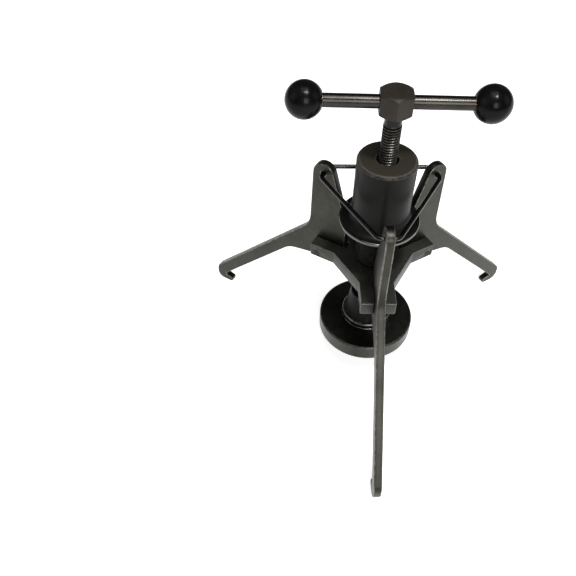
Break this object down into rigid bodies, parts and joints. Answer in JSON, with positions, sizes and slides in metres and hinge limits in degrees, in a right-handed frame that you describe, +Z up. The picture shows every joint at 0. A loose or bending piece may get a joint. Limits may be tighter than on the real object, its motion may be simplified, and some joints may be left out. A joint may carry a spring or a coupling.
{
  "type": "three-leg screw press",
  "caption": "Three-leg hand screw press with T-bar and ball knobs, adjusting collar, hooked levers pivoted in a star plate, and a swivelling round pad.",
  "frame": {"origin": "centre of the press pad's lower face, on the screw's axis", "axes": "+Z up along the screw towards the T-bar, -Y towards the front lever, +X to the right"},
  "size_m": [0.3426, 0.2967, 0.3269],
  "materials": {
    "blackened_steel": "satin black oxide",
    "lever_steel": "satin black oxide, lightly rubbed",
    "collar_steel": "semi-gloss black oxide",
    "screw_steel": "oiled black oxide with bright crests",
    "bar_steel": "dark burnished steel",
    "polished_steel": "polished",
    "wire_steel": "dark drawn spring wire",
    "knob_plastic": "glossy black",
    "insert_brass": "turned brass"
  },
  "bodies": {
    "frame": {"spider": "blackened_steel", "sleeve": "collar_steel", "sleeve_lock_nut": "blackened_steel", "lock_nut_screw": "screw_steel", "pivot_pin_front": "bar_steel", "pivot_pin_left": "bar_steel", "pivot_pin_right": "bar_steel", "spring_wire": "wire_steel"},
    "pad": {"press_pad": "blackened_steel", "lower_race": "polished_steel", "bearing_balls": "polished_steel", "ball_cage": "insert_brass", "retaining_ring": "polished_steel"},
    "screw": {"spindle": "screw_steel", "screw_nose": "blackened_steel", "nose_grub_screw": "screw_steel", "foot_disc": "blackened_steel", "upper_race": "polished_steel", "dust_ring": "polished_steel"},
    "t_bar": {"tommy_bar": "bar_steel", "knob_insert_left": "insert_brass", "knob_insert_right": "insert_brass", "ball_knob_left": "knob_plastic", "ball_knob_right": "knob_plastic"},
    "rim": {"rim_ring": "polished_steel"},
    "collar": {"collar": "collar_steel"},
    "lever_front": {"lever_front": "lever_steel"},
    "lever_left": {"lever_left": "lever_steel"},
    "lever_right": {"lever_right": "lever_steel"}
  },
  "joints": [
    {"name": "pad_feed", "type": "slide", "parent": "frame", "child": "pad", "axis": [0, 0, 1], "range_m": [-0.03301, 0.02201]},
    {"name": "screw_turn", "type": "hinge", "parent": "pad", "child": "screw", "pos_m": [0, 0, 0.1], "axis": [0, 0, 1], "range_deg": [-4400, 2933.33]},
    {"name": "t_bar_slide", "type": "slide", "parent": "screw", "child": "t_bar", "axis": [0.9995, -0.0314, 0], "range_m": [-0.044, 0.041]},
    {"name": "collar_feed", "type": "slide", "parent": "frame", "child": "rim", "axis": [0, 0, 1], "range_m": [-0.00601, 0.00601]},
    {"name": "collar_turn", "type": "hinge", "parent": "rim", "child": "collar", "pos_m": [0, 0, 0.159], "axis": [0, 0, 1], "range_deg": [-1080, 1080]},
    {"name": "lever_front_swing", "type": "hinge", "parent": "frame", "child": "lever_front", "pos_m": [0, -0.0555, 0.097], "axis": [1, 0, 0], "range_deg": [-1.98, 1.98], "deforming": ["spring_wire"]},
    {"name": "lever_left_swing", "type": "hinge", "parent": "frame", "child": "lever_left", "pos_m": [-0.04806, 0.02775, 0.097], "axis": [-0.5, -0.866, 0], "range_deg": [-1.98, 1.98], "deforming": ["spring_wire"]},
    {"name": "lever_right_swing", "type": "hinge", "parent": "frame", "child": "lever_right", "pos_m": [0.04806, 0.02775, 0.097], "axis": [-0.5, 0.866, 0], "range_deg": [-1.98, 1.98], "deforming": ["spring_wire"]}
  ],
  "couplings": [
    {"joint": "pad_feed", "follows": "screw_turn", "m_per_rad": 0.00042972},
    {"joint": "collar_feed", "follows": "collar_turn", "m_per_rad": 0.00031831},
    {"joint": "lever_front_swing", "follows": "collar_turn", "ratio": -0.0017825},
    {"joint": "lever_left_swing", "follows": "collar_turn", "ratio": -0.0017825},
    {"joint": "lever_right_swing", "follows": "collar_turn", "ratio": -0.0017825}
  ]
}
